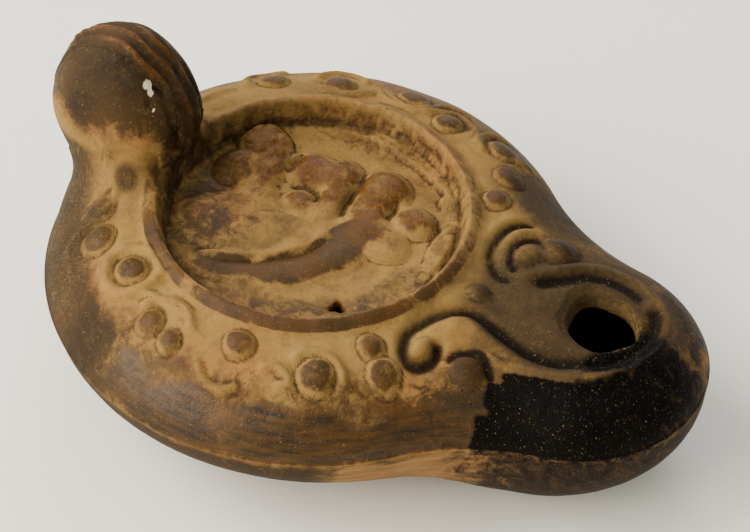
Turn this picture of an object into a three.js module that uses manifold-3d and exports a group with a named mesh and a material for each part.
// A Roman volute lamp of fired clay: a round oil chamber whose sunken discus carries a reclining figure,
// a rounded nozzle between two volutes, and a solid lug handle. The lamp is one hollow piece.
// Millimetres, +Z up, nozzle along +X, origin at the centre of the flat underside.
import * as THREE from "three";
import { mergeVertices } from "three/addons/utils/BufferGeometryUtils.js";
import Module from "manifold-3d";

// ---- Plan, at the mould seam ----
const BODY_RADIUS = 48.5; // oil chamber
const NOZZLE_RADIUS = 23.8; // rounded end of the nozzle
const NOZZLE_CENTRE = 52; // from the lamp's centre to the centre of that rounded end
const NECK_RADIUS = 44; // hollow curve between chamber and nozzle
const BASE_RADIUS = 19; // flat underside, round at the back
const BASE_REACH = 40; // from the lamp's centre to the underside's drawn-out front, under the nozzle

// ---- Heights ----
const SHOULDER_HEIGHT = 33.75; // foot of the discus ring
const SEAM_HEIGHT = 21; // where the two mould halves meet
const SEAM_RISE = 1.4; // how much higher the seam runs at the nozzle's tip
const NOZZLE_DROP = 1; // nozzle top below the shoulder
const SHOULDER_POWER = 1.65; // superellipse of the shoulder: 2 is round, less is more sloping
const LOWER_TURN = 62; // degrees of the lower wall's quarter ellipse that are used
const KEEL_POWER = 0.56; // below 1 the nozzle's underside is fuller than that ellipse
const NOZZLE_BULGE = 1.3; // how far the nozzle's lower wall swells out below the seam

// ---- Discus ----
const RING_FOOT = 30;
const RING_CREST = 28.2;
const RING_RISE = 2;
const FLOOR_RADIUS = 26.2;
const FLOOR_DEPTH = 3.4; // edge of the floor, below the ring's foot
const FLOOR_HOLLOW = 1.4; // middle of the floor, below its edge

// ---- Clay and openings ----
const WALL = 3.2;
const WICK_CENTRE = { x: 56.3, y: 1.5 };
const WICK_RADIUS = 5.9;
const DISH_RADIUS = 11;
const DISH_DEPTH = 2;
const WICK_LIP = 1.7; // how much wider the hole is at its worn lip
const FILLER_CENTRE = { x: 13.3, y: -15.5 };
const FILLER_RADIUS = 1.3;

// ---- Lug handle: a thick rounded disc on edge, its outline given from its own centre ----
const LUG_CENTRE = { x: -36.6, y: -0.5, z: 42.4 };
const LUG_HALF_WIDTH = 10.6;
const LUG_ROUND = 2.4; // superellipse across the handle
const LUG_RADII = [12.3, 13, 14.6, 17, 16.8, 15.6, 15, 14.8, 16, 17, 14, 11.5]; // every 30 degrees from +X up
const LUG_AROUND = 26;
const CREST_RIDGES = 3;
const CREST_PITCH = 3.4;
const CREST_RISE = 0.6;
// Soft swelling of the shoulder round the handle's root: full height inside `full`, none outside `none`,
// both as shares of its half length and of the handle's half width.
const SADDLE = { halfLength: 12, full: 0.7, none: 1.55, rise: 4.2 };

// ---- Relief ----
const RELIEF_EDGE = { none: 3, full: 7 }; // relief fades out between these distances from the plan's edge
const BERRY_RISE = 1.3;
// Each berry on the shoulder: angle in degrees from the nozzle, distance from the lamp's centre, radius.
const BERRIES = [
  [-45, 34.2, 2.2], [-44, 39.4, 2.7], [-61, 38.2, 3], [-83, 34.4, 2.4], [-109, 38, 2.3], [-101, 38.7, 2.2],
  [-143, 38.6, 3], [-154, 38.4, 2.6], [-175, 35, 2.4], [-7, 35.3, 2], [-25.5, 42.8, 2.9], [17.5, 45, 3.1],
  [33, 33.4, 2.5], [44, 37.5, 2.9], [56, 40.4, 2.9], [71.5, 34.8, 3], [87, 37.5, 3], [110, 35.2, 2.9],
  [129.5, 37.6, 2.8],
];
const RINGED_BERRY = { angle: -127, distance: 34.9, berry: 2.9, ring: 4.9, width: 1.1 };
// Volutes: the line of each raised edge, from its curl by the discus to the wick hole.
const VOLUTES = [
  [
    [31.3, -20.5], [30.6, -16], [33.5, -11.3], [40, -11], [47, -12], [54, -11.6], [60, -8.6], [64.5, -3.5],
    [66.5, 2],
  ],
  [
    [36.5, 9.5], [39.5, 6.5], [36.5, 4], [33.6, 8.5], [35, 14], [39.5, 17.5], [45.5, 15.5], [51, 14.5],
    [58, 12.6], [64, 8],
  ],
];
const VOLUTE_RISE = 1.3;
const VOLUTE_WIDTH = 1.7;
// The figure reclining on a couch, as soft swellings: centre, half length, half width, turn in degrees, rise.
const FIGURE = {
  hair: { at: [-16.5, 13.5], size: [5.2, 4.4], turn: -35, rise: 1.7 },
  face: { at: [-19, 7.5], size: [4, 3.4], turn: -60, rise: 1.3 },
  shoulder: { at: [-13, 5], size: [5, 4], turn: -50, rise: 1.5 },
  chest: { at: [-5, 12.5], size: [7, 4.4], turn: 6, rise: 1.7 },
  forearm: { at: [-4.5, 4.6], size: [3.6, 2.6], turn: -30, rise: 1.2 },
  hip: { at: [6, 12], size: [4.8, 6.4], turn: 0, rise: 1.9 },
  knee: { at: [15, 8.5], size: [5, 4.6], turn: -35, rise: 1.5 },
  thigh: { at: [10, 4], size: [7, 3.6], turn: -20, rise: 1.2 },
  feet: { at: [23, 6], size: [6, 1.9], turn: -70, rise: 0.9 },
  couch: { at: [4, -8], size: [11, 4.6], turn: 48, rise: 1.2 },
  cover: { at: [-7, -15], size: [9, 3.6], turn: 12, rise: 1.1 },
};

// ---- Mesh: points round the chamber, along each side of the neck and across the nozzle's end, and rows ----
const OUTSIDE_MESH = { back: 84, side: 18, tip: 24, spacing: 2.2, edgeRows: 10, lower: 5 };
const INSIDE_MESH = { back: 28, side: 6, tip: 8, spacing: 5, edgeRows: 4, lower: 4 };
const OUTSIDE_RADII = [
  3, 6, 8.5, 11, 13.5, 15.8, 18, 20.2, 22.4, 24.5, FLOOR_RADIUS, 27.2, RING_CREST, 29.2, RING_FOOT,
];
const INSIDE_RADII = [12, FLOOR_RADIUS, RING_FOOT];

const ease = (low, high, value) => THREE.MathUtils.smoothstep(value, low, high);
const radians = THREE.MathUtils.degToRad;

// The plan is three kinds of arc: the chamber, the two hollow necks and the nozzle's end.
// A line inside it keeps their centres, and only the radii change.
const toNeck = BODY_RADIUS + NECK_RADIUS;
const neckX = (NOZZLE_CENTRE ** 2 + toNeck ** 2 - (NOZZLE_RADIUS + NECK_RADIUS) ** 2) / (2 * NOZZLE_CENTRE);
const neckY = Math.sqrt(toNeck ** 2 - neckX ** 2);
const bodyAngle = Math.atan2(neckY, neckX);
const endAngle = Math.atan2(neckY, neckX - NOZZLE_CENTRE);
const shoulderWidth = BODY_RADIUS - RING_FOOT;
const tipX = NOZZLE_CENTRE + NOZZLE_RADIUS;

// Distance inwards from the plan's edge.
function depthInside(x, y) {
  const side = Math.abs(y);
  const facesNeck = Math.atan2(side, x) < bodyAngle && Math.atan2(side, x - NOZZLE_CENTRE) > endAngle;
  if (facesNeck) return Math.hypot(x - neckX, side - neckY) - NECK_RADIUS;
  return Math.max(BODY_RADIUS - Math.hypot(x, y), NOZZLE_RADIUS - Math.hypot(x - NOZZLE_CENTRE, y));
}

const seamHeight = (x) => SEAM_HEIGHT + SEAM_RISE * ease(RING_FOOT, tipX, x);

// The top without relief: shoulder, sunken discus and the dish round the wick hole.
function plainTop(x, y, inset) {
  const reach = THREE.MathUtils.clamp((depthInside(x, y) - inset) / (shoulderWidth - inset), 0, 1);
  const round = (1 - (1 - reach) ** SHOULDER_POWER) ** (1 / SHOULDER_POWER);
  const crown = SHOULDER_HEIGHT - NOZZLE_DROP * ease(RING_FOOT, NOZZLE_CENTRE, x) - inset;
  const radius = Math.hypot(x, y);
  const hollow = FLOOR_HOLLOW * Math.max(0, 1 - (radius / FLOOR_RADIUS) ** 2);
  const recess = (FLOOR_DEPTH + hollow) * (1 - ease(FLOOR_RADIUS, RING_CREST, radius));
  const dish = DISH_DEPTH * (1 - ease(0, DISH_RADIUS, Math.hypot(x - WICK_CENTRE.x, y - WICK_CENTRE.y)));
  return seamHeight(x) + (crown - seamHeight(x)) * round - recess - dish;
}

function ringRelief(x, y) {
  const radius = Math.hypot(x, y);
  return RING_RISE * ease(FLOOR_RADIUS, RING_CREST, radius) * (1 - ease(RING_CREST, RING_FOOT, radius));
}

// A dome that meets the ground softly.
const dome = (distance, radius, rise) => rise * Math.max(0, 1 - (distance / radius) ** 2) ** 0.9;

// A raised line of the given half width.
const rib = (distance, width, rise) => rise * Math.exp(-((distance / width) ** 2));

function berryRelief(x, y) {
  const away = (angle, distance) =>
    Math.hypot(x - distance * Math.cos(radians(angle)), y - distance * Math.sin(radians(angle)));
  const domes = BERRIES.map(([angle, distance, radius]) => dome(away(angle, distance), radius, BERRY_RISE));
  const { angle, distance, berry, ring, width } = RINGED_BERRY;
  const middle = away(angle, distance);
  return Math.max(...domes, dome(middle, berry, BERRY_RISE), rib(middle - ring, width, BERRY_RISE));
}

const voluteLines = VOLUTES.map((knots) =>
  new THREE.SplineCurve(knots.map(([x, y]) => new THREE.Vector2(x, y))).getPoints(6 * knots.length),
);

function voluteRelief(x, y) {
  const nearest = (line) => Math.min(...line.map((p) => Math.hypot(x - p.x, y - p.y)));
  return Math.max(...voluteLines.map((line) => rib(nearest(line), VOLUTE_WIDTH, VOLUTE_RISE)));
}

function figureRelief(x, y) {
  const swellings = Object.values(FIGURE).map(({ at, size, turn, rise }) => {
    const c = Math.cos(radians(turn));
    const s = Math.sin(radians(turn));
    const along = ((x - at[0]) * c + (y - at[1]) * s) / size[0];
    const over = ((y - at[1]) * c - (x - at[0]) * s) / size[1];
    return dome(Math.hypot(along, over), 1, rise);
  });
  return Math.max(...swellings);
}

function saddle(x, y) {
  const away = Math.hypot((x - LUG_CENTRE.x) / SADDLE.halfLength, (y - LUG_CENTRE.y) / LUG_HALF_WIDTH);
  const outsideRing = ease(RING_CREST, RING_FOOT + 1, Math.hypot(x, y));
  return SADDLE.rise * (1 - ease(SADDLE.full, SADDLE.none, away)) * outsideRing;
}

function carvedTop(x, y) {
  const radius = Math.hypot(x, y);
  const clearOfEdge = ease(RELIEF_EDGE.none, RELIEF_EDGE.full, depthInside(x, y));
  const ornament = Math.max(berryRelief(x, y), voluteRelief(x, y)) * ease(RING_FOOT, RING_FOOT + 1, radius);
  const relief = radius < FLOOR_RADIUS ? figureRelief(x, y) : ornament;
  return plainTop(x, y, 0) + ringRelief(x, y) + saddle(x, y) + relief * clearOfEdge;
}

// A closed skin gathers points, and faces between loops of points that run anticlockwise from above.
class Skin {
  points = [];
  faces = [];

  point(x, y, z) {
    this.points.push(x, y, z);
    return this.points.length / 3 - 1;
  }

  height(index) {
    return this.points[3 * index + 2];
  }

  // A four-sided face, split along its higher diagonal so that swellings stay round.
  quad(a, b, c, d) {
    const highAC = this.height(a) + this.height(c) > this.height(b) + this.height(d);
    if (highAC) this.faces.push(a, b, c, a, c, d);
    else this.faces.push(a, b, d, b, c, d);
  }

  // Fills between a loop and the next one out or down, which has as many points or twice as many.
  band(inner, outer) {
    const next = (loop, i) => loop[(i + 1) % loop.length];
    inner.forEach((point, i) => {
      if (outer.length === inner.length) this.quad(point, outer[i], next(outer, i), next(inner, i));
      else {
        const middle = outer[2 * i + 1];
        this.faces.push(point, outer[2 * i], middle, point, middle, next(inner, i));
        this.faces.push(next(inner, i), middle, next(outer, 2 * i + 1));
      }
    });
  }

  gap(a, b) {
    const [p, q] = [a, b].map((index) => this.points.slice(3 * index, 3 * index + 3));
    return Math.hypot(p[0] - q[0], p[1] - q[1], p[2] - q[2]);
  }

  // Stitches a spoke to the next one anticlockwise, whatever their counts, always across the shorter gap.
  zip(spoke, next) {
    let i = 0;
    let j = 0;
    while (i < spoke.length - 1 || j < next.length - 1) {
      const ahead = i < spoke.length - 1 ? this.gap(spoke[i + 1], next[j]) : Infinity;
      const across = j < next.length - 1 ? this.gap(spoke[i], next[j + 1]) : Infinity;
      if (ahead <= across) {
        this.faces.push(spoke[i], spoke[i + 1], next[j]);
        i += 1;
      } else {
        this.faces.push(spoke[i], next[j + 1], next[j]);
        j += 1;
      }
    }
  }

  fan(centre, loop) {
    loop.forEach((a, i) => this.faces.push(centre, a, loop[(i + 1) % loop.length]));
  }
}

// Places round the plan's edge, moved inwards by the inset, anticlockwise from the nozzle's tip.
function planEdge({ back, side, tip }, inset) {
  const steps = (count, from, to) => Array.from({ length: count }, (_, k) => from + ((to - from) * k) / count);
  const end = (turn) => {
    const radius = NOZZLE_RADIUS - inset;
    return [NOZZLE_CENTRE + radius * Math.cos(turn), radius * Math.sin(turn)];
  };
  const neck = (turn) => {
    const radius = NECK_RADIUS + inset;
    return [neckX - radius * Math.cos(turn), neckY - radius * Math.sin(turn)];
  };
  const body = (turn) => {
    const radius = BODY_RADIUS - inset;
    return [radius * Math.cos(turn), radius * Math.sin(turn)];
  };
  const mirrored = ([x, y]) => [x, -y];
  return [
    ...steps(tip / 2, 0, endAngle).map(end),
    ...steps(side, endAngle, bodyAngle).map(neck),
    ...steps(back, bodyAngle, 2 * Math.PI - bodyAngle).map(body),
    ...steps(side, bodyAngle, endAngle).map(neck).map(mirrored),
    ...steps(tip / 2, -endAngle, 0).map(end),
  ];
}

// Rings of the discus, from its centre out to the foot of its ring: fewer points where they are small.
function discusRings(skin, angles, radii, put) {
  const middle = put(0, 0);
  let loop = null;
  for (const radius of radii) {
    const thin = radius < RING_FOOT / 3 ? 4 : radius < FLOOR_RADIUS ? 2 : 1;
    const kept = angles.filter((_, i) => i % thin === 0);
    const next = kept.map((a) => put(radius * Math.cos(a), radius * Math.sin(a)));
    if (loop) skin.band(loop, next);
    else skin.fan(middle, next);
    loop = next;
  }
  return loop;
}

// The whole outside, or with an inset the oil chamber inside walls of that thickness.
function lampSkin(mesh, radii, inset, height) {
  const skin = new Skin();
  const put = (x, y) => skin.point(x, y, height(x, y));
  const edge = planEdge(mesh, inset);
  const angles = edge.map(([x, y]) => Math.atan2(y, x));
  const ring = discusRings(skin, angles, radii, put);

  // The top from the ring's foot out to the seam, in spokes that close up where it rounds down.
  const shortest = BODY_RADIUS - inset - RING_FOOT;
  const spokes = edge.map(([x, y], k) => {
    const far = Math.hypot(x, y);
    const rows = mesh.edgeRows + Math.round((far - RING_FOOT - shortest) / mesh.spacing);
    const spoke = [ring[k]];
    for (let i = 1; i < rows; i += 1) {
      const share = Math.sin((Math.PI / 2) * (i / rows)) ** (2 / SHOULDER_POWER);
      const radius = RING_FOOT + (far - RING_FOOT) * share;
      spoke.push(put(radius * Math.cos(angles[k]), radius * Math.sin(angles[k])));
    }
    spoke.push(skin.point(x, y, seamHeight(x)));
    return spoke;
  });
  spokes.forEach((spoke, k) => skin.zip(spoke, spokes[(k + 1) % spokes.length]));

  // Lower wall, curving in to the flat underside, whose front quarter takes the whole nozzle.
  const steep = radians(LOWER_TURN);
  const base = BASE_RADIUS - inset;
  const front = BASE_REACH - inset;
  const foot = edge.map((_, k) => {
    const nozzleSide = mesh.tip / 2 + mesh.side;
    const fromTip = Math.min(k, edge.length - k);
    const angle = fromTip < nozzleSide ? (bodyAngle * fromTip) / nozzleSide : Math.abs(angles[k]);
    const length = Math.cos(angle) > 0 ? front : base;
    return [length * Math.cos(angle), base * Math.sin(angle) * (k < edge.length / 2 ? 1 : -1)];
  });
  const outward = edge.map((_, k) => {
    const [before, after] = [edge.at(k - 1), edge[(k + 1) % edge.length]];
    const along = [after[0] - before[0], after[1] - before[1]];
    const length = Math.hypot(...along);
    return [along[1] / length, -along[0] / length];
  });
  let loop = spokes.map((spoke) => spoke.at(-1));
  for (let i = 1; i <= mesh.lower; i += 1) {
    const turn = steep * (i / mesh.lower);
    const reach = (Math.cos(turn) - Math.cos(steep)) / (1 - Math.cos(steep));
    const drop = Math.sin(turn) / Math.sin(steep);
    const next = edge.map(([x, y], k) => {
      const nozzle = ease(RING_FOOT, NOZZLE_CENTRE, x);
      const part = reach ** (1 + (KEEL_POWER - 1) * nozzle);
      const bulge = NOZZLE_BULGE * nozzle * Math.sin((Math.PI * i) / mesh.lower);
      const [footX, footY] = foot[k];
      const seam = seamHeight(x);
      return skin.point(
        footX + (x - footX) * part + bulge * outward[k][0],
        footY + (y - footY) * part + bulge * outward[k][1],
        seam - drop * (seam - inset),
      );
    });
    skin.band(loop, next);
    loop = next;
  }
  skin.fan(skin.point(0, 0, inset), loop.toReversed());
  return skin;
}

// Radius of the handle's outline at an angle, on a smooth closed curve through the given radii.
function lugRadius(angle) {
  const count = LUG_RADII.length;
  const place = THREE.MathUtils.euclideanModulo((angle / (2 * Math.PI)) * count, count);
  const at = (k) => LUG_RADII[THREE.MathUtils.euclideanModulo(Math.floor(place) + k, count)];
  const t = place - Math.floor(place);
  const [leave, arrive] = [(at(1) - at(-1)) / 2, (at(2) - at(0)) / 2];
  const rise = at(1) - at(0);
  return at(0) + leave * t + (3 * rise - 2 * leave - arrive) * t ** 2 + (leave + arrive - 2 * rise) * t ** 3;
}

function lugSkin() {
  const skin = new Skin();
  const band = (CREST_RIDGES * CREST_PITCH) / 2;
  const inner = Array.from({ length: 2 * CREST_RIDGES + 1 }, (_, k) => -band + (k * CREST_PITCH) / 2);
  const outer = [0.62, 0.76, 0.88, 0.96].map((share) => share * LUG_HALF_WIDTH);
  const sections = [...outer.map((y) => -y).reverse(), ...inner, ...outer];
  const pole = (side) => skin.point(LUG_CENTRE.x, LUG_CENTRE.y + side * LUG_HALF_WIDTH, LUG_CENTRE.z);
  let loop = null;
  const near = pole(-1);
  for (const y of sections) {
    const swell = (1 - Math.abs(y / LUG_HALF_WIDTH) ** LUG_ROUND) ** (1 / LUG_ROUND);
    const ridge = Math.abs(y) < band ? CREST_RISE * Math.cos((2 * Math.PI * y) / CREST_PITCH) : 0;
    const next = Array.from({ length: LUG_AROUND }, (_, i) => {
      const angle = (2 * Math.PI * i) / LUG_AROUND;
      const radius = lugRadius(angle) * swell + ridge * Math.max(0, Math.sin(angle));
      const x = LUG_CENTRE.x + radius * Math.cos(angle);
      return skin.point(x, LUG_CENTRE.y + y, LUG_CENTRE.z + radius * Math.sin(angle));
    });
    if (loop) skin.band(loop, next);
    else skin.fan(near, next);
    loop = next;
  }
  skin.fan(pole(1), loop.toReversed());
  return skin;
}

const wasm = await Module();
wasm.setup();

function solidOf({ points, faces }) {
  const mesh = new wasm.Mesh({
    numProp: 3,
    vertProperties: new Float32Array(points),
    triVerts: new Uint32Array(faces),
  });
  return new wasm.Manifold(mesh);
}

// A turned solid on an upright axis: pairs of radius and height, from axis to axis.
function turned(profile, sides, { x, y }) {
  const geometry = new THREE.LatheGeometry(profile.map(([r, z]) => new THREE.Vector2(r, z)), sides);
  geometry.rotateX(Math.PI / 2);
  geometry.translate(x, y, 0);
  geometry.deleteAttribute("normal");
  geometry.deleteAttribute("uv");
  const merged = mergeVertices(geometry, 1e-3);
  return solidOf({ points: merged.attributes.position.array, faces: merged.index.array });
}

function wickHole() {
  const mouth = plainTop(WICK_CENTRE.x, WICK_CENTRE.y, 0);
  const lip = WICK_RADIUS + WICK_LIP;
  const profile = [
    [0, mouth - 2 * WALL],
    [WICK_RADIUS, mouth - 2 * WALL],
    [WICK_RADIUS, mouth + 1 - WICK_LIP],
    [lip, mouth + 1],
    [lip, mouth + WALL],
    [0, mouth + WALL],
  ];
  return turned(profile, 28, WICK_CENTRE);
}

function fillerHole() {
  const floor = carvedTop(FILLER_CENTRE.x, FILLER_CENTRE.y);
  const profile = [
    [0, floor - 2 * WALL],
    [FILLER_RADIUS, floor - 2 * WALL],
    [FILLER_RADIUS * 1.3, floor + WALL],
    [0, floor + WALL],
  ];
  return turned(profile, 7, FILLER_CENTRE);
}

function lampGeometry() {
  const outside = solidOf(lampSkin(OUTSIDE_MESH, OUTSIDE_RADII, 0, carvedTop)).add(solidOf(lugSkin()));
  const chamberTop = (x, y) => plainTop(x, y, WALL);
  const chamber = solidOf(lampSkin(INSIDE_MESH, INSIDE_RADII, WALL, chamberTop));
  const mesh = outside.subtract(chamber).subtract(wickHole()).subtract(fillerHole()).getMesh();
  const geometry = new THREE.BufferGeometry();
  geometry.setAttribute("position", new THREE.BufferAttribute(mesh.vertProperties, 3));
  geometry.setIndex(new THREE.BufferAttribute(mesh.triVerts, 1));
  geometry.computeVertexNormals();
  return geometry;
}

const clay = new THREE.MeshStandardMaterial({ color: 0x8f6e45, roughness: 0.62, metalness: 0 });
const lampBody = new THREE.Mesh(lampGeometry(), clay);
lampBody.name = "lamp_body";

const lamp = new THREE.Group();
lamp.add(lampBody);
export default lamp;
